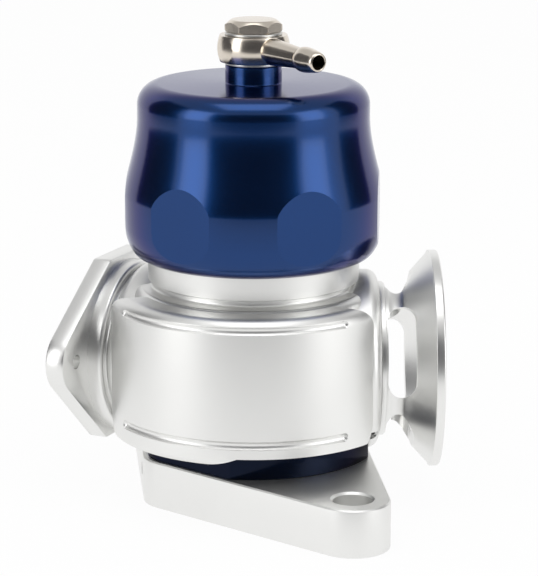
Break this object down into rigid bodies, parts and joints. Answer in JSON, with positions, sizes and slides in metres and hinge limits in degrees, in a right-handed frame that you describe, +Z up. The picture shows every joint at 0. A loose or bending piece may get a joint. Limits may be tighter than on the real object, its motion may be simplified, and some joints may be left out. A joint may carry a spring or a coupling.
{
  "type": "blow-off valve",
  "caption": "Dual outlet piston blow-off valve: blue cap over a spring and piston, silver body, inlet flange, side outlet flange, venting trumpet and a hose fitting on top.",
  "frame": {"origin": "centre of the inlet bore on the underside of the inlet flange", "axes": "+Z up along the valve axis, -Y towards the front panel, outlets 12.8 degrees behind +X and -X"},
  "size_m": [0.0892, 0.0884, 0.1089],
  "materials": {
    "blue_anodised": "polished, deep blue anodised",
    "bright_aluminium": "satin clear anodised",
    "turned_aluminium": "fine turned",
    "piston_anodised": "hard anodised, grey",
    "bright_nickel": "nickel plated brass",
    "spring_steel": "drawn wire",
    "black_steel": "black oxide",
    "seal_rubber": "moulded",
    "bearing_polymer": "bronze filled polymer",
    "soft_aluminium": "soft washer"
  },
  "bodies": {
    "body": {"valve_body": "bright_aluminium", "spacer_front": "blue_anodised", "spacer_rear": "blue_anodised", "seat_ring": "turned_aluminium", "spigot_seal": "seal_rubber", "cap": "blue_anodised", "cap_seal": "seal_rubber", "spring_seat": "turned_aluminium", "thrust_washer": "black_steel", "spring": "spring_steel", "banjo_bolt": "bright_nickel", "lower_washer": "soft_aluminium", "upper_washer": "soft_aluminium", "side_grub_screws": "black_steel", "trumpet_grub_screws": "black_steel"},
    "piston": {"piston": "piston_anodised", "lower_band": "bearing_polymer", "upper_band": "bearing_polymer", "piston_seal": "seal_rubber", "crown_seal": "seal_rubber"},
    "banjo": {"banjo_fitting": "bright_nickel"},
    "base": {"base_flange": "bright_aluminium", "base_face_seal": "seal_rubber", "base_grub_screws": "black_steel"},
    "side": {"side_flange": "bright_aluminium", "side_face_seal": "seal_rubber", "side_seal": "seal_rubber"},
    "trumpet": {"trumpet": "turned_aluminium", "trumpet_seal": "seal_rubber"}
  },
  "joints": [
    {"name": "piston_lift", "type": "slide", "parent": "body", "child": "piston", "axis": [0, 0, 1], "range_m": [0, 0.009], "stiffness_N_per_m": 2500, "springref_m": -0.012, "deforming": ["spring"]},
    {"name": "banjo_swivel", "type": "hinge", "parent": "body", "child": "banjo", "pos_m": [0, 0, 0.10255], "axis": [0, 0, 1], "continuous": true},
    {"name": "base_clocking", "type": "hinge", "parent": "body", "child": "base", "pos_m": [0, 0, 0.0055], "axis": [0, 0, 1], "range_deg": [-80, 25]},
    {"name": "side_clocking", "type": "hinge", "parent": "body", "child": "side", "pos_m": [0, 0, 0.0309], "axis": [-0.9751, 0.2215, 0], "range_deg": [-20, 0]},
    {"name": "trumpet_clocking", "type": "hinge", "parent": "body", "child": "trumpet", "pos_m": [0, 0, 0.0309], "axis": [0.9751, 0.2215, 0], "continuous": true}
  ]
}
